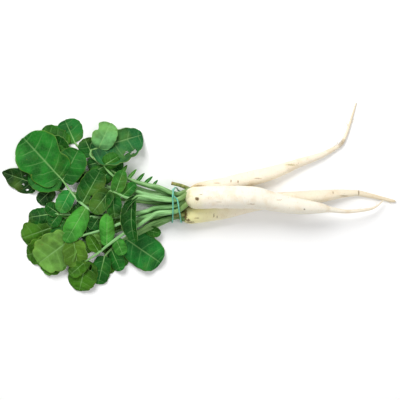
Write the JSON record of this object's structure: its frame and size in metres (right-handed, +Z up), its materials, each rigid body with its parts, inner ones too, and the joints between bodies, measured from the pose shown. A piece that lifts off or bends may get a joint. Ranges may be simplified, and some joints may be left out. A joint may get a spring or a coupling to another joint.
{
  "type": "daikon radish bunch",
  "caption": "Slim white daikon roots with leafy green tops, lying in a bunch held by an elastic band round the stalks.",
  "frame": {"origin": "middle of the underside of the bunch as it lies on a surface", "axes": "+X along the bunch toward the root tips, +Z up, +Y to the side on which the upper root's thin tail ends"},
  "size_m": [0.5894, 0.2822, 0.0571],
  "materials": {
    "root_skin": "smooth damp cream skin with faint rings and brown pores, greener at the crown",
    "front_leaves": "fresh matt green blade with pale veins and pale green stalk",
    "upper_leaves": "deeper green blade with pale veins and pale green stalk",
    "lower_leaves": "dark to olive green blade with pale veins and pale green stalk",
    "cut_stalk": "drying olive stalk with a brown cut end",
    "elastic_band": "thin turquoise elastic"
  },
  "bodies": {
    "root": {"front_root": "root_skin", "upper_root": "root_skin", "lower_root": "root_skin", "front_leaf_1": "front_leaves", "front_leaf_2": "front_leaves", "front_leaf_3": "front_leaves", "front_leaf_4": "front_leaves", "front_leaf_5": "front_leaves", "front_leaf_6": "front_leaves", "front_leaf_7": "front_leaves", "upper_leaf_1": "upper_leaves", "upper_leaf_2": "upper_leaves", "upper_leaf_3": "upper_leaves", "upper_leaf_4": "upper_leaves", "upper_leaf_5": "upper_leaves", "upper_leaf_6": "upper_leaves", "lower_leaf_1": "lower_leaves", "lower_leaf_2": "lower_leaves", "lower_leaf_3": "lower_leaves", "lower_leaf_4": "lower_leaves", "lower_leaf_5": "lower_leaves", "lower_leaf_6": "lower_leaves", "lower_leaf_7": "lower_leaves", "upper_stalk_stub": "cut_stalk", "lower_stalk_stub": "cut_stalk", "tie_band": "elastic_band"}
  },
  "joints": []
}
